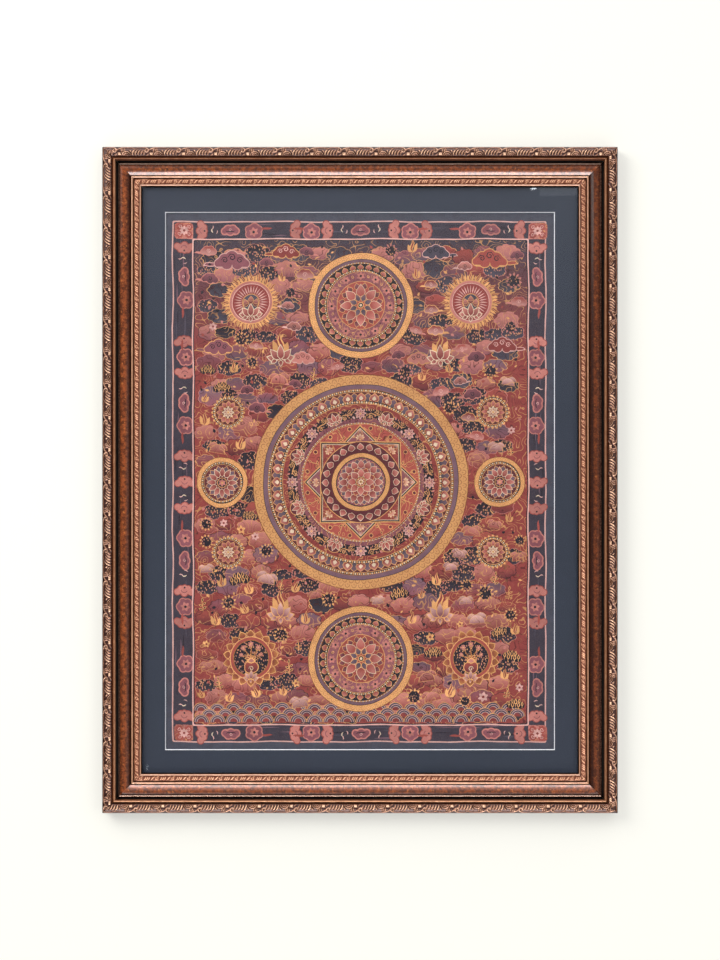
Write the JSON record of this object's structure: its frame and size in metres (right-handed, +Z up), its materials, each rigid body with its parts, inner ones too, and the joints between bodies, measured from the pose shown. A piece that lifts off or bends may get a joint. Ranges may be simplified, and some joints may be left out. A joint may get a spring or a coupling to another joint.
{
  "type": "thangka painting in picture frame",
  "caption": "Painted cloth thangka, cockled a little, in a bevel-cut navy mat behind glass, in a mitred and gilded wooden picture frame for a wall.",
  "frame": {"origin": "middle of the top rail's back face, where the frame hangs on the wall", "axes": "+Z up, the picture faces -Y, the wall lies at +Y, +X is to the right of someone who looks at the picture"},
  "size_m": [0.82, 0.0299, 1.06],
  "materials": {
    "gilded_wood": "bronze and copper leaf over carved wood, rubbed and glazed dark in the hollows",
    "clear_glass": "clear picture glass",
    "navy_mat": "matt navy board with a white core",
    "painted_cloth": "mineral paint and gold line on primed cotton",
    "plain_board": "bare hardboard"
  },
  "bodies": {
    "root": {"rail_top": "gilded_wood", "rail_right": "gilded_wood", "rail_bottom": "gilded_wood", "rail_left": "gilded_wood", "glass": "clear_glass", "mat_board": "navy_mat", "thangka_cloth": "painted_cloth", "backing_board": "plain_board"}
  },
  "joints": []
}
